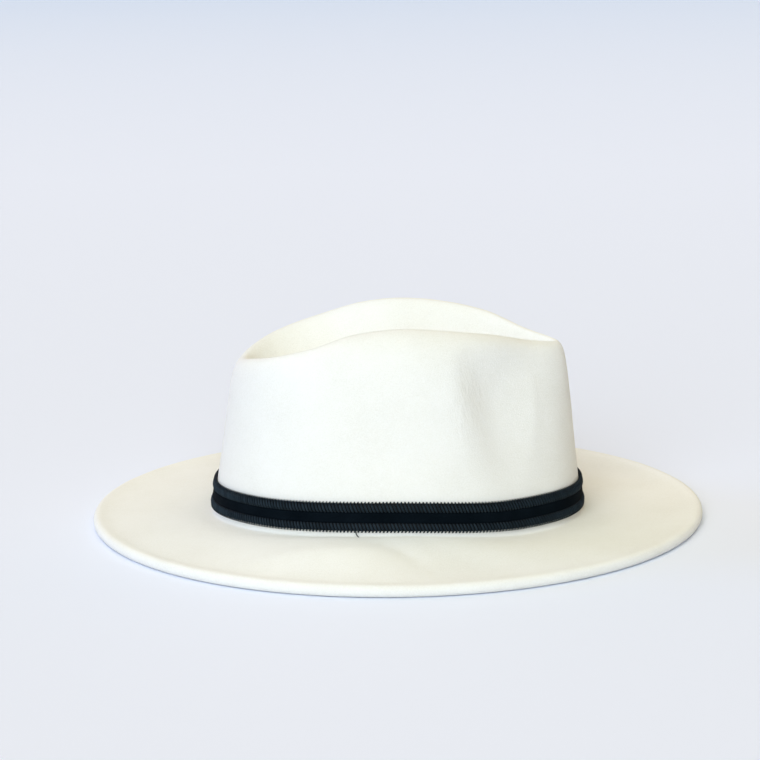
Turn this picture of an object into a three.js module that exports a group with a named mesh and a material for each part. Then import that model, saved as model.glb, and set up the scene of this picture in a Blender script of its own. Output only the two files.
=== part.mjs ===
// A wide-brimmed felt fedora with a teardrop crown, standing on its brim.
// The crown and brim are one blocked felt, and its trim is a velvet strip between two ribbed braids.
// Millimetres and degrees, +Z up, +X to the front of the hat, origin on the floor under the brim's middle.
import * as THREE from 'three';

const segments = 72; // facets round the hat
const feltThickness = 2.2;
const feltFinish = { color: '#f1efe4', roughness: 0.95, metalness: 0 };
const trimGap = 0.3; // between the trim's strips, and between them and the felt

// Outside of the crown where it meets the brim, and the height of the brim's top there
const headOval = { halfLength: 105.3, halfWidth: 85.8 };
const breakSections = [
  { turn: 0, height: 3 },
  { turn: 45, height: 5.4 },
  { turn: 90, height: 10.6 },
  { turn: 135, height: 7.5 },
  { turn: 180, height: 4.2 },
];
const breakRadius = 3;
const breakBends = [30, 60]; // how far round the bend its inner sections are

// The brim's outermost edge, and the hem that is turned under there: its bend, then a flat tuck on the floor
const brimOval = { halfLength: 173.8, halfWidth: 155.4 };
const hem = { bend: 2.2, steps: 5, tuck: 5 };
const hemReach = hem.bend + feltThickness / 2; // from the outermost edge in to where the hem starts
const edgeTop = 2 * hem.bend + feltThickness;
const mitreLimit = 1.2; // most that the felt thickens where it bends sharply

// The crown's rim is an oval whose width changes on the way round
const rimOval = { centre: 3.2, halfLength: 88.3 };
const rimSections = [
  { turn: 0, halfWidth: 18, height: 99 },
  { turn: 30, halfWidth: 26.5, height: 102 },
  { turn: 60, halfWidth: 43.8, height: 111.4 },
  { turn: 90, halfWidth: 46.8, height: 116 },
  { turn: 105, halfWidth: 51.5, height: 113.6 },
  { turn: 120, halfWidth: 62.5, height: 106.8 },
  { turn: 150, halfWidth: 71, height: 97.6 },
  { turn: 180, halfWidth: 70, height: 91.8 },
];

// The crease along the top of the crown, from the rim in to its valley
const valley = { front: 70, back: -62, halfWidth: 3, frontHeight: 87, backHeight: 79 };
const creaseSections = [
  { inward: 1, drop: 1 },
  { inward: 0.8, drop: 0.96 },
  { inward: 0.58, drop: 0.84 },
  { inward: 0.41, drop: 0.65 },
  { inward: 0.27, drop: 0.42 },
  { inward: 0.16, drop: 0.19 },
  { inward: 0.07, drop: 0.05 },
];

// The crown's wall: how far in it has come at each share of its rise, in front, at the sides and behind
const wallSections = [
  { rise: 0, front: 0, side: 0, back: 0 },
  { rise: 0.18, front: 0.12, side: 0.08, back: 0.12 },
  { rise: 0.38, front: 0.27, side: 0.18, back: 0.28 },
  { rise: 0.56, front: 0.4, side: 0.28, back: 0.42 },
  { rise: 0.72, front: 0.53, side: 0.39, back: 0.53 },
  { rise: 0.84, front: 0.63, side: 0.51, back: 0.62 },
  { rise: 0.92, front: 0.72, side: 0.64, back: 0.7 },
  { rise: 0.975, front: 0.84, side: 0.81, back: 0.83 },
  { rise: 1, front: 1, side: 1, back: 1 },
];

// Finger dents at the front of the crown, the same on both sides: the hollow, and the flat above it
const pinchDents = [
  { turn: 56, lean: 20, rise: 0.68, depth: 8.8, behind: 8.5, ahead: 19, above: 0.22, below: 0.38 },
  { turn: 42, lean: 0, rise: 0.86, depth: 4.2, behind: 15, ahead: 18, above: 0.16, below: 0.16 },
];

// The brim's way from the break to its hem, with a shallow dip inside the edge, and the soft swells in it
const brimSections = [
  { outward: 0, level: 1, dip: 0 },
  { outward: 0.2, level: 0.86, dip: 0.1 },
  { outward: 0.45, level: 0.56, dip: 0.5 },
  { outward: 0.72, level: 0.2, dip: 0.9 },
  { outward: 0.89, level: 0.04, dip: 1 },
  { outward: 0.95, level: 0, dip: 0.6 },
  { outward: 1, level: 0, dip: 0 },
];
const brimSwells = [
  { turn: -102, outward: 0.42, height: 5.2, turnSpread: 15, outwardSpread: 0.25 },
  { turn: -73, outward: 0.5, height: -3.4, turnSpread: 12, outwardSpread: 0.3 },
  { turn: 84, outward: 0.4, height: 1.6, turnSpread: 30, outwardSpread: 0.3 },
];
const swellRamp = 0.2; // share of the brim's width over which a swell starts and ends

// The trim's strips, by height above the brim's top at the break
const trimStrips = [
  { name: 'braid_lower', low: 2, high: 7.6, bulge: 2.1, colour: '#20262c', roughness: 0.55 },
  { name: 'velvet_strip', low: 7.9, high: 13.3, bulge: 1.5, colour: '#0b0d10', roughness: 0.9 },
  { name: 'braid_upper', low: 13.6, high: 19.2, bulge: 2.1, colour: '#20262c', roughness: 0.55 },
];
const stripSection = [
  { across: 0, out: 0 },
  { across: 0.06, out: 0.72 },
  { across: 0.28, out: 0.96 },
  { across: 0.5, out: 1 },
  { across: 0.72, out: 0.96 },
  { across: 0.94, out: 0.72 },
  { across: 1, out: 0 },
];

const radians = THREE.MathUtils.degToRad;
const mix = THREE.MathUtils.lerp;

// Slope of a table's column at a row, flattened at a peak so that the curve never overshoots
function slopeAt(rows, key, column, row) {
  const before = rows[row - 1];
  const here = rows[row];
  const after = rows[row + 1];
  const left = before && (here[column] - before[column]) / (here[key] - before[key]);
  const right = after && (after[column] - here[column]) / (after[key] - here[key]);
  if (!before || !after) return key === 'turn' ? 0 : left ?? right;
  return left * right > 0 ? (2 * left * right) / (left + right) : 0;
}

// Smooth value of a table's column between its rows
function readTable(rows, key, column, value) {
  const above = rows.findIndex((candidate) => candidate[key] > value);
  const row = above < 0 ? rows.length - 2 : Math.max(0, above - 1);
  const from = rows[row];
  const to = rows[row + 1];
  const span = to[key] - from[key];
  const s = THREE.MathUtils.clamp((value - from[key]) / span, 0, 1);
  const startSlope = slopeAt(rows, key, column, row) * span;
  const endSlope = slopeAt(rows, key, column, row + 1) * span;
  const eased = s * s * (3 - 2 * s);
  const bend = s * (1 - s) * (startSlope * (1 - s) - endSlope * s);
  return mix(from[column], to[column], eased) + bend;
}

// Bell-shaped falloff, 1 where there is no offset
const bell = (offset, spread) => Math.exp(-((offset / spread) ** 2));

// Shares of front, side and back at a turn, which add up to 1
function shares(turn) {
  const along = Math.cos(radians(turn));
  const end = along * along;
  return { front: along > 0 ? end : 0, side: 1 - end, back: along > 0 ? 0 : end };
}

const turnBetween = (a, b) => ((a - b + 540) % 360) - 180;

const ovalPoint = (oval, turn, z) =>
  new THREE.Vector3(oval.halfLength * Math.cos(radians(turn)), oval.halfWidth * Math.sin(radians(turn)), z);

// Level direction from the crown out to the brim's edge at a turn
const outwardAt = (turn) => ovalPoint(brimOval, turn, 0).sub(ovalPoint(headOval, turn, 0)).normalize();

const breakTop = (turn) => readTable(breakSections, 'turn', 'height', Math.abs(turn));

// Middle of the felt's thickness at the foot of the crown
function crownFoot(turn) {
  const height = breakTop(turn) - feltThickness / 2;
  return ovalPoint(headOval, turn, height).addScaledVector(outwardAt(turn), -feltThickness / 2);
}

function rimPoint(turn) {
  const section = Math.abs(turn);
  const x = rimOval.centre + rimOval.halfLength * Math.cos(radians(turn));
  const y = readTable(rimSections, 'turn', 'halfWidth', section) * Math.sin(radians(turn));
  return new THREE.Vector3(x, y, readTable(rimSections, 'turn', 'height', section));
}

function valleyPoint(turn) {
  const along = (1 + Math.cos(radians(turn))) / 2;
  return new THREE.Vector3(
    mix(valley.back, valley.front, along),
    valley.halfWidth * Math.sin(radians(turn)),
    mix(valley.backHeight, valley.frontHeight, along),
  );
}

function dentDepth(turn, rise) {
  return pinchDents.reduce((sum, dent) => {
    const up = rise - dent.rise;
    const back = turn - dent.turn - dent.lean * up;
    const round = bell(back, back > 0 ? dent.behind : dent.ahead);
    return sum + dent.depth * round * bell(up, up > 0 ? dent.above : dent.below);
  }, 0);
}

// A point on the crown's wall, pushed in by the dents
function wallPoint(turn, rise) {
  const foot = crownFoot(turn);
  const rim = rimPoint(turn);
  const part = shares(turn);
  const inward = ['front', 'side', 'back'].reduce(
    (sum, side) => sum + part[side] * readTable(wallSections, 'rise', side, rise),
    0,
  );
  const point = foot.clone().lerp(rim, inward);
  point.z = mix(foot.z, rim.z, rise);
  return point.addScaledVector(outwardAt(turn), -dentDepth(Math.abs(turn), rise));
}

function creaseLine(turn) {
  const rim = wallPoint(turn, 1);
  const bottom = valleyPoint(turn);
  return creaseSections.map((section) => {
    const point = rim.clone().lerp(bottom, section.inward);
    point.z = mix(rim.z, bottom.z, section.drop);
    return point;
  });
}

function wallLine(turn) {
  const footRise = breakRadius / (rimPoint(turn).z - crownFoot(turn).z);
  return wallSections
    .map((section) => wallPoint(turn, Math.max(section.rise, footRise)))
    .reverse();
}

// The bend between the crown's wall and the brim, without its two ends
function breakLine(turn) {
  const foot = crownFoot(turn);
  return breakBends.map((angle) => {
    const reach = breakRadius * (1 - Math.cos(radians(angle)));
    const drop = breakRadius * (1 - Math.sin(radians(angle)));
    return foot.clone().addScaledVector(outwardAt(turn), reach).setZ(foot.z + drop);
  });
}

function brimTop(turn, outward) {
  const level = readTable(brimSections, 'outward', 'level', outward);
  const dip = readTable(brimSections, 'outward', 'dip', outward);
  const swell = brimSwells.reduce((sum, bump) => {
    const height = bump.height * bell(turnBetween(turn, bump.turn), bump.turnSpread);
    return sum + height * bell(outward - bump.outward, bump.outwardSpread);
  }, 0);
  const settled = Math.min(1, outward / swellRamp) * Math.min(1, (1 - outward) / swellRamp);
  return Math.max(mix(edgeTop, breakTop(turn), level) - dip + swell * settled, feltThickness);
}

// Where the brim's hem starts, in the middle of the felt's thickness
function hemStart(turn) {
  return ovalPoint(brimOval, turn, edgeTop - feltThickness / 2).addScaledVector(outwardAt(turn), -hemReach);
}

function brimLine(turn) {
  const start = crownFoot(turn).addScaledVector(outwardAt(turn), breakRadius);
  return brimSections.map((section) => {
    const point = start.clone().lerp(hemStart(turn), section.outward);
    return point.setZ(brimTop(turn, section.outward) - feltThickness / 2);
  });
}

// The felt turns under at the brim's edge, and its tuck stands on the floor
function hemLine(turn) {
  const start = hemStart(turn);
  const place = (reach, drop) => start.clone().addScaledVector(outwardAt(turn), reach).setZ(start.z - drop);
  const bend = Array.from({ length: hem.steps }, (_, step) => {
    const angle = radians((180 * (step + 1)) / hem.steps);
    return place(hem.bend * Math.sin(angle), hem.bend * (1 - Math.cos(angle)));
  });
  return [...bend, place(-hem.tuck, 2 * hem.bend)];
}

const feltLine = (turn) => [
  ...creaseLine(turn),
  ...wallLine(turn),
  ...breakLine(turn),
  ...brimLine(turn),
  ...hemLine(turn),
];

const turns = Array.from({ length: segments }, (_, i) => turnBetween((360 * i) / segments, 0));

// From the middle of a wall to its outer face at a point of a line, at full thickness on flat stretches
function faceShift(line, j, round, thickness) {
  const here = line[j];
  const after = line[j + 1] && line[j + 1].clone().sub(here).normalize();
  const before = line[j - 1] && here.clone().sub(line[j - 1]).normalize();
  const along = new THREE.Vector3().add(before ?? after).add(after ?? before).normalize();
  const mitre = Math.min(mitreLimit, 1 / along.dot(before ?? after));
  return along.cross(round).normalize().multiplyScalar((thickness / 2) * mitre);
}

// Both faces of a wall whose middle is a grid of lines, one line for each turn
function wallFaces(lines, thickness) {
  const count = lines.length;
  const shifts = lines.map((line, i) => {
    const before = lines[(i + count - 1) % count];
    const after = lines[(i + 1) % count];
    return line.map((_, j) => faceShift(line, j, after[j].clone().sub(before[j]), thickness));
  });
  return {
    outer: lines.map((line, i) => line.map((point, j) => point.clone().add(shifts[i][j]))),
    inner: lines.map((line, i) => line.map((point, j) => point.clone().sub(shifts[i][j]))),
  };
}

// Triangles between neighbouring loops, where each row of points runs across the loops
function loftTriangles(rows, closed) {
  const width = rows[0].length;
  const triangles = [];
  for (let i = 0; i < rows.length; i += 1) {
    const next = (i + 1) % rows.length;
    for (let j = 0; j < (closed ? width : width - 1); j += 1) {
      const a = i * width + j;
      const b = i * width + ((j + 1) % width);
      const c = next * width + ((j + 1) % width);
      const d = next * width + j;
      triangles.push(a, b, c, a, c, d);
    }
  }
  return triangles;
}

// Triangles across a narrow symmetric loop, joining each point to the one opposite
function stripTriangles(loop, flipped) {
  const triangles = [];
  const half = loop.length / 2;
  const opposite = (i) => loop[(loop.length - i) % loop.length];
  const add = (a, b, c) => triangles.push(...(flipped ? [a, c, b] : [a, b, c]));
  for (let i = 0; i < half; i += 1) {
    if (i > 0) add(loop[i], loop[i + 1], opposite(i));
    if (i < half - 1) add(loop[i + 1], opposite(i + 1), opposite(i));
  }
  return triangles;
}

function solidGeometry(rows, triangles) {
  const places = rows.flat().flatMap((point) => point.toArray());
  const geometry = new THREE.BufferGeometry();
  geometry.setAttribute('position', new THREE.Float32BufferAttribute(places, 3));
  geometry.setIndex(triangles);
  geometry.computeVertexNormals();
  return geometry;
}

function feltBody() {
  const faces = wallFaces(turns.map(feltLine), feltThickness);
  const rows = faces.outer.map((outer, i) => [...outer, ...faces.inner[i].slice().reverse()]);
  const width = rows[0].length;
  const valleyLoop = (j) => rows.map((_, i) => i * width + j);
  const triangles = [
    ...loftTriangles(rows, false),
    ...stripTriangles(valleyLoop(0), false),
    ...stripTriangles(valleyLoop(width - 1), true),
  ];
  const mesh = new THREE.Mesh(solidGeometry(rows, triangles), new THREE.MeshStandardMaterial(feltFinish));
  mesh.name = 'felt_body';
  return mesh;
}

// One strip of the trim, laid round the foot of the crown
function trimStrip(strip) {
  const seat = feltThickness / 2 + trimGap;
  const rows = turns.map((turn) => {
    const rimHeight = rimPoint(turn).z - crownFoot(turn).z;
    return stripSection.map((section) => {
      const height = mix(strip.low, strip.high, section.across) + feltThickness / 2;
      const reach = seat + strip.bulge * section.out;
      return wallPoint(turn, height / rimHeight).addScaledVector(outwardAt(turn), reach);
    });
  });
  const mesh = new THREE.Mesh(
    solidGeometry(rows, loftTriangles(rows, true).reverse()),
    new THREE.MeshStandardMaterial({ color: strip.colour, roughness: strip.roughness, metalness: 0 }),
  );
  mesh.name = strip.name;
  return mesh;
}

const trim = new THREE.Group();
trimStrips.forEach((strip) => trim.add(trimStrip(strip)));

const hat = new THREE.Group();
hat.add(feltBody(), trim);

export default hat;
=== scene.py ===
import math
import random

import bpy
import numpy as np
from mathutils import Matrix, Vector


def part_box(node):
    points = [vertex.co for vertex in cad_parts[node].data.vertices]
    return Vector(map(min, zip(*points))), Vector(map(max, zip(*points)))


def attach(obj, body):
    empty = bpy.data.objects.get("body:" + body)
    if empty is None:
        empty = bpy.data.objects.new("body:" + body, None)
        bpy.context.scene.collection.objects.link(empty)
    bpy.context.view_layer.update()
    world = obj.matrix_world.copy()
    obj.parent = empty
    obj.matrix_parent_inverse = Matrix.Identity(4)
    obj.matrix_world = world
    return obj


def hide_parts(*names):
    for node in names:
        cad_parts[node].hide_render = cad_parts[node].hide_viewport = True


# Ivory wool-felt fedora with a black trim of two ribbed braids and a velvet strip
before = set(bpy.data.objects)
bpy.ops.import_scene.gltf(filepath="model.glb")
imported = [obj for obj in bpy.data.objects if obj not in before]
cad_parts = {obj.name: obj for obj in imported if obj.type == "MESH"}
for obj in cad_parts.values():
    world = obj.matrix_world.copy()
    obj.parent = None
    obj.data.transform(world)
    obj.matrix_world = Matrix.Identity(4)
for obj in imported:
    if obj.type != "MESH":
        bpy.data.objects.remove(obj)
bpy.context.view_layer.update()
mm = 0.001  # piece sizes below are in millimetres
random.seed(7)
print("frame:", ", ".join(sorted(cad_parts)))


class Wire:
    # one node output, so that finishes can be written as sums
    def __init__(self, tree, socket=None):
        self.tree = tree
        self.socket = socket

    def add(self, kind, settings=None, inputs=None, output=0):
        node = self.tree.nodes.new(kind)
        for name, value in (settings or {}).items():
            if name == "stops":
                setStops(node.color_ramp.elements, value)
            else:
                setattr(node, name, value)
        for name, value in (inputs or {}).items():
            plugIn(self.tree, node.inputs[name], value)
        return Wire(self.tree, node.outputs[output])

    def calc(self, operation, *values):
        return self.add("ShaderNodeMath", {"operation": operation}, dict(enumerate(values)))

    def limited(self):
        return self.add("ShaderNodeClamp", None, {"Value": self})

    def __add__(self, other):
        return self.calc("ADD", self, other)

    def __sub__(self, other):
        return self.calc("SUBTRACT", self, other)

    def __mul__(self, other):
        return self.calc("MULTIPLY", self, other)

    def __abs__(self):
        return self.calc("ABSOLUTE", self)

    def __rsub__(self, other):
        return self.calc("SUBTRACT", other, self)

    __radd__ = __add__
    __rmul__ = __mul__


def plugIn(tree, socket, value):
    if isinstance(value, Wire):
        tree.links.new(value.socket, socket)
    else:
        socket.default_value = value


def setStops(elements, stops):
    while len(elements) < len(stops):
        elements.new(1.0)
    for element, (place, colour) in zip(elements, stops):
        element.position = place
        element.color = (*colour, 1.0)


def newFinish(name, fixed):
    # a Principled material, its wire to add nodes with, and its inputs
    material = bpy.data.materials.new(name)
    material.use_nodes = True
    shader = material.node_tree.nodes["Principled BSDF"]
    for socket, value in fixed.items():
        shader.inputs[socket].default_value = value
    return material, Wire(material.node_tree), shader.inputs


def noiseAt(place, scale, detail, roughness, distortion=0.0):
    inputs = {
        "Vector": place,
        "Scale": scale,
        "Detail": detail,
        "Roughness": roughness,
        "Distortion": distortion,
    }
    return place.add("ShaderNodeTexNoise", None, inputs)


def bumpFrom(height, strength, distance, under=None):
    inputs = {"Height": height, "Strength": strength, "Distance": distance}
    if under:
        inputs["Normal"] = under
    return height.add("ShaderNodeBump", None, inputs)


# Finishes

feltLook = {
    "fixed": {"Roughness": 0.95, "Specular IOR Level": 0.2, "Sheen Weight": 0.1, "Sheen Roughness": 0.6},
    "stops": [(0.2, (0.79, 0.775, 0.705)), (0.36, (0.845, 0.832, 0.77)), (0.55, (0.875, 0.866, 0.818))],
    "nap": {"scale": 1500.0, "detail": 3.0, "roughness": 0.6},
    "patches": {"scale": 32.0, "detail": 3.0, "roughness": 0.55},
    "fibreScales": (420.0, 690.0),
    "fibres": {"detail": 1.0, "roughness": 0.4, "distortion": 1.6},
    "fibreWidth": 11.0,  # higher is thinner
    "heightShares": {"nap": 0.6, "fibres": 0.35},
    "shadeShares": {"patches": 0.3, "nap": 0.35, "fibres": 0.08},
    "bump": {"strength": 0.35, "distance": 0.00035},
    "creases": {"scale": 300.0, "detail": 2.0, "roughness": 0.5, "distortion": 0.4},
    "creaseStretch": (1.0, 1.0, 0.28),  # upright, as in the photo
    "creaseBump": {"strength": 0.5, "distance": 0.0012},
}


def feltFinish():
    look = feltLook
    material, wire, shader = newFinish("ivoryFelt", look["fixed"])
    place = wire.add("ShaderNodeTexCoord", output="Object")
    nap = noiseAt(place, **look["nap"])
    patches = noiseAt(place, **look["patches"])
    fibres = 0.0
    for scale in look["fibreScales"]:
        strand = noiseAt(place, scale, **look["fibres"])
        fibres = (1.0 - abs(strand - 0.5) * look["fibreWidth"]).limited() + fibres
    inHeight, inShade = look["heightShares"], look["shadeShares"]
    height = nap * inHeight["nap"] + fibres * inHeight["fibres"]
    shade = patches * inShade["patches"] + nap * inShade["nap"] + fibres * inShade["fibres"]
    colour = shade.add("ShaderNodeValToRGB", {"stops": look["stops"]}, {"Fac": shade})
    upright = wire.add("ShaderNodeMapping", None, {"Vector": place, "Scale": look["creaseStretch"]})
    pinched = wire.add("ShaderNodeAttribute", {"attribute_name": "pinched"}, output="Fac")
    creases = noiseAt(upright, **look["creases"]) * pinched
    folded = bumpFrom(creases, **look["creaseBump"])
    plugIn(wire.tree, shader["Base Color"], colour)
    plugIn(wire.tree, shader["Normal"], bumpFrom(height, under=folded, **look["bump"]))
    return material


yarnLook = {
    "fixed": {"Sheen Weight": 0.02, "Sheen Roughness": 0.35, "Specular IOR Level": 0.12},
    # the lowest stop mostly colours the braid's backing, as painted shade in the gaps between the ribs
    "stops": [(0.15, (0.001, 0.0022, 0.0036)), (0.5, (0.007, 0.0145, 0.021)), (0.9, (0.017, 0.03, 0.041))],
    "filaments": {"scale": 2600.0, "detail": 2.0, "roughness": 0.6, "distortion": 0.8},
    "shadeShares": {"strand": 0.7, "filaments": 0.3},
    "roughness": (0.4, 0.2),  # least, and how far it varies
    "bump": {"strength": 0.5, "distance": 0.0002},
}


def yarnFinish():
    look = yarnLook
    material, wire, shader = newFinish("blackYarn", look["fixed"])
    place = wire.add("ShaderNodeTexCoord", output="Object")
    filaments = noiseAt(place, **look["filaments"])
    strand = wire.add("ShaderNodeAttribute", {"attribute_name": "strandShade"}, output="Fac")
    shade = strand * look["shadeShares"]["strand"] + filaments * look["shadeShares"]["filaments"]
    colour = shade.add("ShaderNodeValToRGB", {"stops": look["stops"]}, {"Fac": shade})
    least, span = look["roughness"]
    plugIn(wire.tree, shader["Base Color"], colour)
    plugIn(wire.tree, shader["Roughness"], filaments * span + least)
    plugIn(wire.tree, shader["Normal"], bumpFrom(filaments, **look["bump"]))
    return material


velvetLook = {
    "fixed": {"Roughness": 1.0, "Specular IOR Level": 0.02, "Sheen Weight": 0.015, "Sheen Roughness": 0.3},
    "stops": [(0.3, (0.0012, 0.0026, 0.0042)), (0.7, (0.0042, 0.0076, 0.0112))],
    "pile": {"scale": 2200.0, "detail": 2.0, "roughness": 0.65},
    "lie": {"scale": 60.0, "detail": 2.0, "roughness": 0.5, "distortion": 0.6},  # which way the pile leans
    "bump": {"strength": 0.6, "distance": 0.0003},
}


def velvetFinish():
    look = velvetLook
    material, wire, shader = newFinish("blackVelvet", look["fixed"])
    place = wire.add("ShaderNodeTexCoord", output="Object")
    pile = noiseAt(place, **look["pile"])
    lie = noiseAt(place, **look["lie"])
    shade = pile * 0.5 + lie * 0.5  # evenly mixed
    colour = shade.add("ShaderNodeValToRGB", {"stops": look["stops"]}, {"Fac": shade})
    plugIn(wire.tree, shader["Base Color"], colour)
    plugIn(wire.tree, shader["Normal"], bumpFrom(pile, **look["bump"]))
    return material


felt = feltFinish()
yarn = yarnFinish()
velvet = velvetFinish()
print("finishes: felt, yarn, velvet")


# Small helpers for working by hand

def takeOnly(piece):
    if bpy.context.object and bpy.context.object.mode != "OBJECT":
        bpy.ops.object.mode_set(mode="OBJECT")
    bpy.ops.object.select_all(action="DESELECT")
    piece.select_set(True)
    bpy.context.view_layer.objects.active = piece


def editAll(piece):
    takeOnly(piece)
    bpy.ops.object.mode_set(mode="EDIT")
    bpy.ops.mesh.select_all(action="SELECT")


def leaveEdit():
    bpy.ops.object.mode_set(mode="OBJECT")


def joinInto(piece, others):
    takeOnly(piece)
    for other in others:
        other.select_set(True)
    bpy.ops.object.join()
    return piece


def applyModifier(piece, kind, **settings):
    takeOnly(piece)
    modifier = piece.modifiers.new(kind.lower(), kind)
    for name, value in settings.items():
        setattr(modifier, name, value)
    bpy.ops.object.modifier_apply(modifier=modifier.name)


def coordsOf(piece):
    flat = np.zeros(len(piece.data.vertices) * 3)
    piece.data.vertices.foreach_get("co", flat)
    return flat.reshape(-1, 3)


def setCoords(piece, coords):
    piece.data.vertices.foreach_set("co", coords.ravel())
    piece.data.update()


def dress(piece, material, slot, *nodes):
    piece.data.materials.clear()
    piece.data.materials.append(material)
    takeOnly(piece)
    bpy.ops.object.shade_smooth()
    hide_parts(*nodes)
    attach(piece, "root")


# Felt: the blocked form smoothed, with soft folds and the slight unevenness of hand-shaped wool

feltForm = {
    "smoothing": 2,
    "uneven": {"size": 26 * mm, "depth": 0.5 * mm, "detail": 2},
    "floorGuard": (2.5 * mm, 8 * mm),  # no folds or unevenness below the first height, all above the second
    "creases": {"along": (41 * mm, 9 * mm), "up": (80 * mm, 19 * mm)},  # middle and spread at the dents
    "foldRounding": 1.5 * mm,
    "foldEnds": (0.02, 0.98),  # share of its line that a fold is faded between
    "foldFade": 0.6,  # lower keeps a fold high for longer
    "merge": 0.01 * mm,
    "quadAngle": 1.2,
}

# in mm: a line of places, how far it is raised, and the widths of the steep and the gentle flank
feltFolds = {
    "brimRidge": {
        "line": [
            (-88, -134, 6), (-71, -119, 7), (-60, -113, 9), (-49, -112, 11),
            (-24, -112, 13), (1, -106, 11), (14, -118, 8),
        ],
        "raised": (0, 0, 1.3),
        "steepSide": (0.3, 1.0, 0),
        "flanks": (7, 20),
        "mirrored": False,
    },
    "brimFoot": {
        "line": [
            (-76, -71, 8), (-59, -80, 9), (-42, -87, 10), (-20, -89, 11),
            (1, -88, 11), (33, -84, 10), (48, -79, 9), (62, -71, 8),
        ],
        "raised": (0, 0, 1.8),
        "steepSide": (0, 1.0, 0),
        "flanks": (5, 9),
        "mirrored": False,
    },
    "brimValley": {
        "line": [
            (-12, -90, 11), (-3, -95, 11), (7, -106, 10),
            (16, -115, 8), (26, -125, 6), (34, -138, 5),
        ],
        "raised": (0, 0, -1.8),
        "steepSide": (1.0, 1.0, 0),
        "flanks": (8, 11),
        "mirrored": False,
    },
    "dentBack": {
        "line": [
            (46, -40, 112), (41, -47, 109), (37, -55, 103), (36, -59, 95),
            (37, -63, 84), (39, -65, 74), (43, -67, 60),
        ],
        "raised": (0.4, -0.8, 0),
        "steepSide": (1.0, 0.4, 0),
        "flanks": (5, 16),
        "mirrored": True,
    },
    "dentTop": {
        "line": [(41, -47, 110), (54, -39, 108), (68, -26, 105), (82, -15, 101), (91, -9, 98)],
        "raised": (0.5, -0.75, 0),
        "steepSide": (0, 0, 1.0),
        "flanks": (3, 9),
        "mirrored": True,
    },
    "dentFront": {
        "line": [
            (75, -27, 94), (77, -29, 84), (78, -32, 73), (78, -37, 60),
            (77, -42, 48), (74, -49, 35), (71, -53, 26),
        ],
        "raised": (0.75, -0.75, 0),
        "steepSide": (1.0, 1.0, 0),
        "flanks": (5, 14),
        "mirrored": True,
    },
}


def nearestOn(line, coords):
    # vector from the line to each place, and how far along the line it is met, from 0 to 1
    best = np.full(len(coords), np.inf)
    away = np.zeros((len(coords), 3))
    along = np.zeros(len(coords))
    for step in range(len(line) - 1):
        start, span = line[step], line[step + 1] - line[step]
        share = np.clip((coords - start) @ span / (span @ span), 0, 1)
        gap = coords - start - share[:, None] * span
        closer = (gap * gap).sum(axis=1) < best
        best = np.where(closer, (gap * gap).sum(axis=1), best)
        away[closer] = gap[closer]
        along = np.where(closer, (step + share) / (len(line) - 1), along)
    return away, along


def raiseFold(hat, fold, guard):
    first, last = feltForm["foldEnds"]
    for side in (1, -1) if fold["mirrored"] else (1,):
        flip = np.array([1, side, 1])
        coords = coordsOf(hat)
        away, along = nearestOn(np.array(fold["line"]) * flip * mm, coords)
        steep, gentle = fold["flanks"]
        flank = np.where(away @ (np.array(fold["steepSide"]) * flip) > 0, steep, gentle) * mm
        distance = np.sqrt((away * away).sum(axis=1) + feltForm["foldRounding"] ** 2)
        fade = np.sin(np.pi * np.clip(along, first, last)) ** feltForm["foldFade"]
        share = np.exp(-distance / flank) * fade * guard
        setCoords(hat, coords + share[:, None] * np.array(fold["raised"]) * flip * mm)


def makeFelt():
    form = feltForm
    hat = bpy.data.objects.new("felt_hat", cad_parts["felt_body"].data.copy())
    bpy.context.collection.objects.link(hat)
    editAll(hat)
    bpy.ops.mesh.remove_doubles(threshold=form["merge"])
    angle = form["quadAngle"]
    bpy.ops.mesh.tris_convert_to_quads(face_threshold=angle, shape_threshold=angle)
    leaveEdit()
    level = form["smoothing"]
    applyModifier(hat, "SUBSURF", levels=level, render_levels=level)
    low, high = form["floorGuard"]
    guard = np.clip((coordsOf(hat)[:, 2] - low) / (high - low), 0, 1)
    for fold in feltFolds.values():
        raiseFold(hat, fold, guard)
    group = hat.vertex_groups.new(name="aboveFloor")
    for index, share in enumerate(guard):
        group.add([index], share, "REPLACE")
    clouds = bpy.data.textures.new("feltUneven", "CLOUDS")
    clouds.noise_scale = form["uneven"]["size"]
    clouds.noise_depth = form["uneven"]["detail"]
    applyModifier(
        hat,
        "DISPLACE",
        texture=clouds,
        strength=form["uneven"]["depth"],
        mid_level=0.5,
        vertex_group=group.name,
    )
    hat.vertex_groups.clear()
    pinched = np.ones(len(hat.data.vertices))
    for axis, name in ((0, "along"), (2, "up")):
        middle, spread = form["creases"][name]
        pinched *= np.exp(-(((coordsOf(hat)[:, axis] - middle) / spread) ** 2))
    hat.data.attributes.new("pinched", "FLOAT", "POINT").data.foreach_set("value", pinched)
    dress(hat, felt, "ivory_felt", "felt_body")
    print("felt:", len(hat.data.polygons), "faces")


# Trim: made flat as a tape (x along, y across, z out) and laid round the crown on its strip of the frame

trimFit = {
    "sections": 72,  # of each strip of the frame, all the way round
    "lengthAt": 1.2,  # mm out from the felt, where the length round the crown is measured
    "lift": 0.5,  # mm up the crown
    "lowerEdge": 0.5,  # mm from the strip's edge to the end of the scallops
    "upperEdge": 0.0,
    "merge": 0.005,
}


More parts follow.
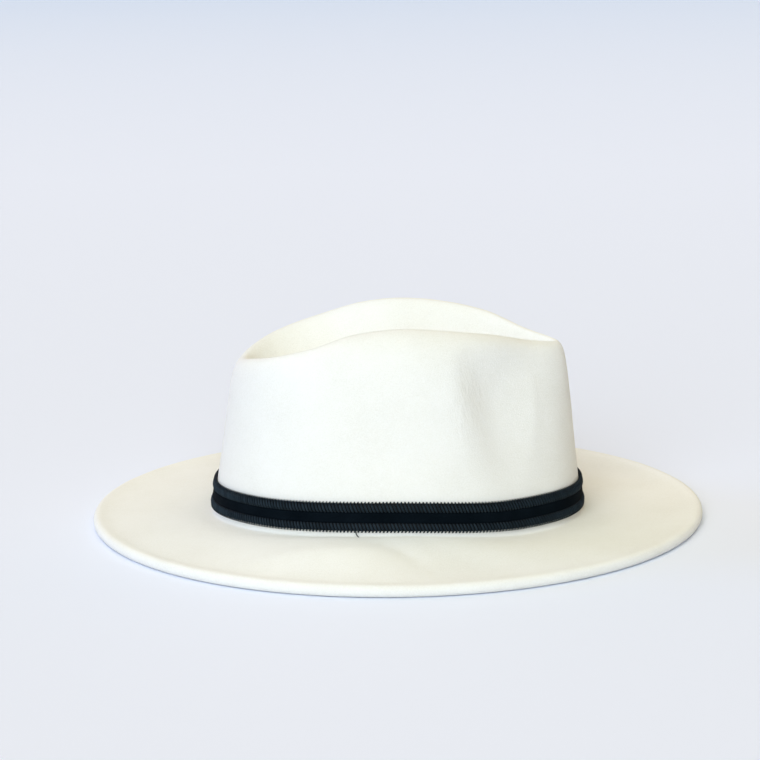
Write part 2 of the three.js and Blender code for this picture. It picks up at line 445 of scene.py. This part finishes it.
def readStrip(node):
    # low and high edge of the strip against the felt, and the way out, at each turn
    corners = np.unique(coordsOf(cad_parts[node]).round(7), axis=0)
    low, high = (np.array(corner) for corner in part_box(node))
    centre = (low + high) / 2
    half = (high - low) / 2
    turns = np.arctan2((corners[:, 1] - centre[1]) / half[1], (corners[:, 0] - centre[0]) / half[0])
    steps = trimFit["sections"]
    index = np.round(turns / (2 * np.pi) * steps).astype(int) % steps
    strip = {"low": [], "high": [], "out": []}
    for step in range(steps):
        section = corners[index == step]
        section = section[section[:, 2].argsort()]
        seat = (section[0] + section[-1]) / 2
        out = section[len(section) // 2] - seat
        strip["low"].append(section[0])
        strip["high"].append(section[-1])
        strip["out"].append(out / np.linalg.norm(out))
    strip = {name: np.array(rows) for name, rows in strip.items()}
    middle = (strip["low"] + strip["high"]) / 2 + strip["out"] * trimFit["lengthAt"] * mm
    gaps = np.linalg.norm(np.roll(middle, -1, axis=0) - middle, axis=1)
    strip["along"] = np.concatenate([[0.0], np.cumsum(gaps)])
    strip["width"] = float(np.linalg.norm(strip["high"] - strip["low"], axis=1).mean())
    return strip


def smoothRound(rows, along, places):
    # a smooth closed curve through the rows, read at places along it
    count = len(rows)
    step = np.searchsorted(along, places, side="right") - 1
    step = np.clip(step, 0, count - 1)
    share = ((places - along[step]) / (along[step + 1] - along[step]))[:, None]
    before, here, after, later = (rows[(step + shift) % count] for shift in (-1, 0, 1, 2))
    bend = (after - before) / 2
    nextBend = (later - here) / 2
    cubic = 2 * here - 2 * after + bend + nextBend
    square = 3 * after - 3 * here - 2 * bend - nextBend
    return ((cubic * share + square) * share + bend) * share + here


def layRound(tape, strip, length):
    # bends the flat tape round the crown
    flat = coordsOf(tape)
    total = strip["along"][-1]
    places = (flat[:, 0] / length * total) % total
    low, high, out = (
        smoothRound(strip[name], strip["along"], places) for name in ("low", "high", "out")
    )
    across = ((flat[:, 1] + trimFit["lift"] * mm) / strip["width"])[:, None]
    setCoords(tape, low + (high - low) * across + out * flat[:, 2:3])
    editAll(tape)
    bpy.ops.mesh.remove_doubles(threshold=trimFit["merge"] * mm)
    leaveEdit()


def drawStrand(name, path, sides):
    # a closed yarn along a path of (place, radius)
    places = [Vector(place) * mm for place, radius in path]
    radii = [radius * mm for place, radius in path]
    bpy.ops.object.select_all(action="DESELECT")
    bpy.ops.mesh.primitive_circle_add(
        vertices=sides,
        radius=radii[0],
        fill_type="NGON",
        location=places[0],
        rotation=(math.pi / 2, 0, 0),
    )
    strand = bpy.context.object
    strand.name = name
    bpy.ops.object.transform_apply(location=True, rotation=True, scale=True)
    editAll(strand)
    for step in range(1, len(path)):
        move = places[step] - places[step - 1]
        bpy.ops.mesh.extrude_region_move(TRANSFORM_OT_translate={"value": move})
        swell = radii[step] / radii[step - 1]
        bpy.ops.transform.resize(value=(swell, swell, swell), center_override=places[step])
    bpy.ops.mesh.select_all(action="SELECT")
    bpy.ops.mesh.normals_make_consistent(inside=False)
    leaveEdit()
    return strand


def drawTape(name, step, width, form):
    # one short length of flat tape with rounded outer edges, open at both ends
    thickness = form["thickness"] * mm
    first = form["inset"][0] * mm
    last = width - form["inset"][1] * mm
    bpy.ops.object.select_all(action="DESELECT")
    bpy.ops.mesh.primitive_cube_add(size=1, location=(step / 2, (first + last) / 2, thickness / 2))
    tape = bpy.context.object
    tape.name = name
    tape.scale = (step, last - first, thickness)
    bpy.ops.object.transform_apply(location=True, rotation=True, scale=True)
    editAll(tape)
    bpy.ops.mesh.select_mode(type="EDGE")
    bpy.ops.mesh.select_all(action="DESELECT")
    leaveEdit()
    for edge in tape.data.edges:
        start, end = (tape.data.vertices[index].co for index in edge.vertices)
        onTop = min(start.z, end.z) > thickness / 2
        edge.select = onTop and abs(start.x - end.x) > step / 2
    bpy.ops.object.mode_set(mode="EDIT")
    bpy.ops.mesh.bevel(offset=form["rounding"] * mm, segments=form["bevels"], affect="EDGES")
    for cut in range(1, form["cuts"] + 1):
        bpy.ops.mesh.select_all(action="SELECT")
        across = first + (last - first) * cut / (form["cuts"] + 1)
        bpy.ops.mesh.bisect(plane_co=(0, across, 0), plane_no=(0, 1, 0))
    bpy.ops.mesh.select_mode(type="FACE")
    bpy.ops.mesh.select_all(action="DESELECT")
    leaveEdit()
    for face in tape.data.polygons:
        face.select = abs(face.normal.x) > 0.9  # the two ends
    bpy.ops.object.mode_set(mode="EDIT")
    bpy.ops.mesh.delete(type="FACE")
    bpy.ops.mesh.select_mode(type="VERT")
    leaveEdit()
    return tape


def repeatAlong(piece, pitch, count, merge):
    applyModifier(
        piece,
        "ARRAY",
        count=count,
        use_relative_offset=False,
        use_constant_offset=True,
        constant_offset_displace=(pitch, 0, 0),
        use_merge_vertices=merge,
        merge_threshold=trimFit["merge"] * mm,
    )


def shadeStrands(piece, corners, low, high):
    # each strand a little lighter or darker than the next, picked between low and high; the backing's fixed
    # 0 is painted shade
    count = len(piece.data.vertices)
    shades = piece.data.attributes.new("strandShade", "FLOAT", "POINT")
    picks = [random.uniform(low, high) for strand in range(count // corners + 1)]
    shades.data.foreach_set("value", [picks[index // corners] for index in range(count)])


braid = {
    "backing": {"thickness": 0.9, "rounding": 0.45, "bevels": 3, "cuts": 0},
    "backingInset": (1.0, -0.15),  # from the scallops' end, and from the inner edge
    "ribPitch": 1.95,
    "ribFoot": 1.5,
    "ribTop": 5.8,
    "ribLean": 0.42,  # along the tape for each unit across
    "ribSpread": 0.22,  # the two yarns of a rib part in the middle
    "ribRadius": 0.36,
    "ribHeight": (0.8, 0.95),  # out from the felt at the ends, and how much more in the middle
    "ribSteps": 7,
    "ribEnds": 0.06,  # share of the swell that is left off at each end
    "loopRadius": 0.5,
    "strandSides": {"rib": 6, "loop": 8, "thread": 6},
    # the backing's shade of 0 gives it the darkest yarn colour, painted shade where it shows between the
    # ribs
    "shades": {"rib": (0.45, 1.0), "loop": (0.2, 0.6), "backing": (0.0, 0.0), "thread": (0.6, 0.6)},
    "looseEnd": {"turn": -99.6, "radius": 0.3},  # a cut thread below the lower braid
}


def ribYarn(side):
    path = []
    for step in range(braid["ribSteps"]):
        share = step / (braid["ribSteps"] - 1)
        swell = math.sin(math.pi * (braid["ribEnds"] + (1 - 2 * braid["ribEnds"]) * share))
        across = (braid["ribTop"] - braid["ribFoot"]) * share
        apart = side * braid["ribSpread"] * (0.35 + 0.65 * swell)
        along = apart - braid["ribLean"] * across
        out = braid["ribHeight"][0] + braid["ribHeight"][1] * math.sqrt(swell)
        radius = braid["ribRadius"] * (0.5 + 0.5 * math.sqrt(swell))
        path.append(((along, braid["ribFoot"] + across, out), radius))
    return drawStrand("ribYarn", path, braid["strandSides"]["rib"])


def edgeLoop(outer):
    # one scallop of the outer edge, a thick yarn turned under
    radius = braid["loopRadius"]
    path = [
        ((0.05, 2.1, 1.0), radius * 0.55),
        ((-0.05, 1.6, 1.35), radius * 0.95),
        ((-0.2, outer + 0.9, 1.4), radius),
        ((-0.3, outer + 0.45, 1.1), radius * 0.95),
        ((-0.35, outer + 0.2, 0.6), radius * 0.7),
    ]
    return drawStrand("edgeLoop", path, braid["strandSides"]["loop"])


def looseEnd(start):
    # hangs out over the brim and down to the right
    radius = braid["looseEnd"]["radius"]
    path = [
        ((start, 1.2, 1.3), radius),
        ((start + 0.2, 0.3, 1.8), radius),
        ((start + 0.9, -0.5, 2.3), radius),
        ((start + 1.8, -1.2, 2.7), radius),
        ((start + 2.2, -1.6, 2.8), radius * 0.6),
    ]
    return drawStrand("looseEnd", path, braid["strandSides"]["thread"])


def makeBraid(name, node, upper):
    strip = readStrip(node)
    total = float(strip["along"][-1])
    pitch = braid["ribPitch"] * mm
    ribCount = round(total / pitch)
    length = ribCount * pitch
    shades = braid["shades"]
    ribs = joinInto(ribYarn(-1), [ribYarn(1)])
    ribCorners = len(ribs.data.vertices) // 2
    repeatAlong(ribs, pitch, ribCount, False)
    shadeStrands(ribs, ribCorners, *shades["rib"])
    outer = trimFit["upperEdge"] if upper else trimFit["lowerEdge"]
    loops = edgeLoop(outer)
    loopCorners = len(loops.data.vertices)
    repeatAlong(loops, pitch, ribCount, False)
    shadeStrands(loops, loopCorners, *shades["loop"])
    inset = (outer + braid["backingInset"][0], braid["backingInset"][1])
    backing = drawTape("backing", pitch, strip["width"], {**braid["backing"], "inset": inset})
    repeatAlong(backing, pitch, ribCount, True)
    # the backing, seen only between the ribs, is coloured darkest as painted shade
    shadeStrands(backing, len(backing.data.vertices), *shades["backing"])
    parts = [loops, backing]
    if not upper:
        sections = trimFit["sections"]
        section = braid["looseEnd"]["turn"] % 360 / 360 * sections
        share = np.interp(section, range(sections + 1), strip["along"]) / total
        thread = looseEnd(share * length / mm)
        shadeStrands(thread, len(thread.data.vertices), *shades["thread"])
        parts.append(thread)
    tape = joinInto(ribs, parts)
    tape.name = name
    if upper:  # turned over, so that its scallops are on top
        flat = coordsOf(tape)
        flat[:, 0] = length - flat[:, 0]
        flat[:, 1] = strip["width"] - flat[:, 1]
        setCoords(tape, flat)
    layRound(tape, strip, length)
    dress(tape, yarn, "black_braid", node)
    print(name + ":", ribCount, "ribs,", len(tape.data.polygons), "faces")


velvetStrip = {
    "step": 1.0,
    "thickness": 1.35,
    "inset": (-0.15, -0.15),
    "rounding": 0.7,
    "bevels": 3,
    "cuts": 4,
}


def makeVelvet(name, node):
    strip = readStrip(node)
    total = float(strip["along"][-1])
    count = round(total / (velvetStrip["step"] * mm))
    tape = drawTape(name, total / count, strip["width"], velvetStrip)
    repeatAlong(tape, total / count, count, True)
    layRound(tape, strip, total)
    dress(tape, velvet, "black_velvet", node)
    print(name + ":", len(tape.data.polygons), "faces")


makeFelt()
makeBraid("braid_ribbed_lower", "braid_lower", False)
makeBraid("braid_ribbed_upper", "braid_upper", True)
makeVelvet("velvet_ribbon", "velvet_strip")


# Studio: a pale floor, a broad cool key light from the front, a warm one overhead, and weak ones behind

studio = {
    "floorSize": 40.0,
    "floorFixed": {"Roughness": 0.9, "Specular IOR Level": 0.1},
    # the floor's colour darkens far back from the hat: painted falloff of light
    "floorStops": [(0.0, (0.81, 0.845, 0.955)), (0.2, (0.82, 0.86, 0.99)), (1.0, (0.69, 0.775, 0.955))],
    "floorDepth": (0.2, 7.0),  # where the first and last of these colours lie
    "sky": ((0.9, 0.94, 1.0), 0.02),
}

lamps = {
    "key": {"azimuth": -10, "elevation": 30, "spread": 60, "power": 2.66, "colour": (0.82, 0.9, 1.0)},
    "overhead": {"azimuth": 0, "elevation": 88, "spread": 90, "power": 1.5, "colour": (1.0, 0.96, 0.68)},
    "coolLeft": {"azimuth": -100, "elevation": 20, "spread": 22, "power": 0.65, "colour": (0.3, 0.5, 1.0)},
    "back": {"azimuth": -140, "elevation": 30, "spread": 60, "power": 0.63, "colour": (1.0, 0.72, 0.8)},
    "warmBack": {"azimuth": 135, "elevation": 20, "spread": 50, "power": 0.3, "colour": (1.0, 0.5, 0.1)},
}


def floorFinish():
    material, wire, shader = newFinish("paleFloor", studio["floorFixed"])
    place = wire.add("ShaderNodeTexCoord", output="Object")
    depth = wire.add("ShaderNodeSeparateXYZ", None, {"Vector": place}, output="Y")
    # painted falloff of light: the floor colour darkens with depth away from the camera
    near, far = studio["floorDepth"]
    share = ((depth - near) * (1 / (far - near))).limited()
    colour = share.add("ShaderNodeValToRGB", {"stops": studio["floorStops"]}, {"Fac": share})
    plugIn(wire.tree, shader["Base Color"], colour)
    return material


def makeFloor():
    bpy.ops.object.select_all(action="DESELECT")
    bpy.ops.mesh.primitive_plane_add(size=studio["floorSize"])
    floor = bpy.context.object
    floor.name = "studio_floor"
    floor.data.materials.append(floorFinish())


def addSun(name, lamp):
    azimuth = math.radians(lamp["azimuth"])
    elevation = math.radians(lamp["elevation"])
    towards = Vector((math.sin(azimuth), -math.cos(azimuth), math.tan(elevation)))
    bpy.ops.object.light_add(type="SUN", rotation=towards.to_track_quat("Z", "Y").to_euler())
    light = bpy.context.object
    light.name = name
    light.data.energy = lamp["power"]
    light.data.angle = math.radians(lamp["spread"])
    light.data.color = lamp["colour"]


def makeSky():
    world = bpy.data.worlds.new("studioSky")
    world.use_nodes = True
    background = world.node_tree.nodes["Background"].inputs
    colour, strength = studio["sky"]
    background["Color"].default_value = (*colour, 1.0)
    background["Strength"].default_value = strength
    bpy.context.scene.world = world
    bpy.context.scene.view_settings.view_transform = "Standard"


makeFloor()
makeSky()
for lampName, lamp in lamps.items():
    addSun(lampName, lamp)
print("studio lit")


# Camera: a little above the brim, looking at the wearer's right side and slightly round to the front

shot = {
    "distance": 1.2,
    "height": 16.37,  # degrees above the floor, seen from the hat
    "round": 3.0,  # degrees towards the front
    "aimAcross": -0.42,
    "aimUp": 3.63,  # degrees above the middle of the floor under the hat
    "roll": -1.1,
    "lens": 98.76,
    "sensor": 36.0,
    "nearest": 0.01,
}


def makeCamera():
    height, across, roll = (math.radians(shot[name]) for name in ("height", "aimAcross", "roll"))
    pitch = math.radians(shot["height"] - shot["aimUp"])
    level = Vector((math.cos(across), -math.sin(across), 0))
    forward = Vector((math.sin(across), math.cos(across), 0))
    ahead = forward * math.cos(pitch) - Vector((0, 0, math.sin(pitch)))
    upright = level.cross(ahead)
    right = level * math.cos(roll) + upright * math.sin(roll)
    up = upright * math.cos(roll) - level * math.sin(roll)
    place = Vector((0, -math.cos(height), math.sin(height))) * shot["distance"]
    aim = Matrix((right, up, -ahead)).transposed().to_4x4()
    bpy.ops.object.camera_add()
    camera = bpy.context.object
    camera.name = "camera"
    camera.data.lens = shot["lens"]
    camera.data.sensor_width = shot["sensor"]
    camera.data.clip_start = shot["nearest"]
    turned = Matrix.Rotation(math.radians(shot["round"]), 4, "Z")
    camera.matrix_world = turned @ Matrix.Translation(place) @ aim
    bpy.context.scene.camera = camera


makeCamera()
print("camera set")
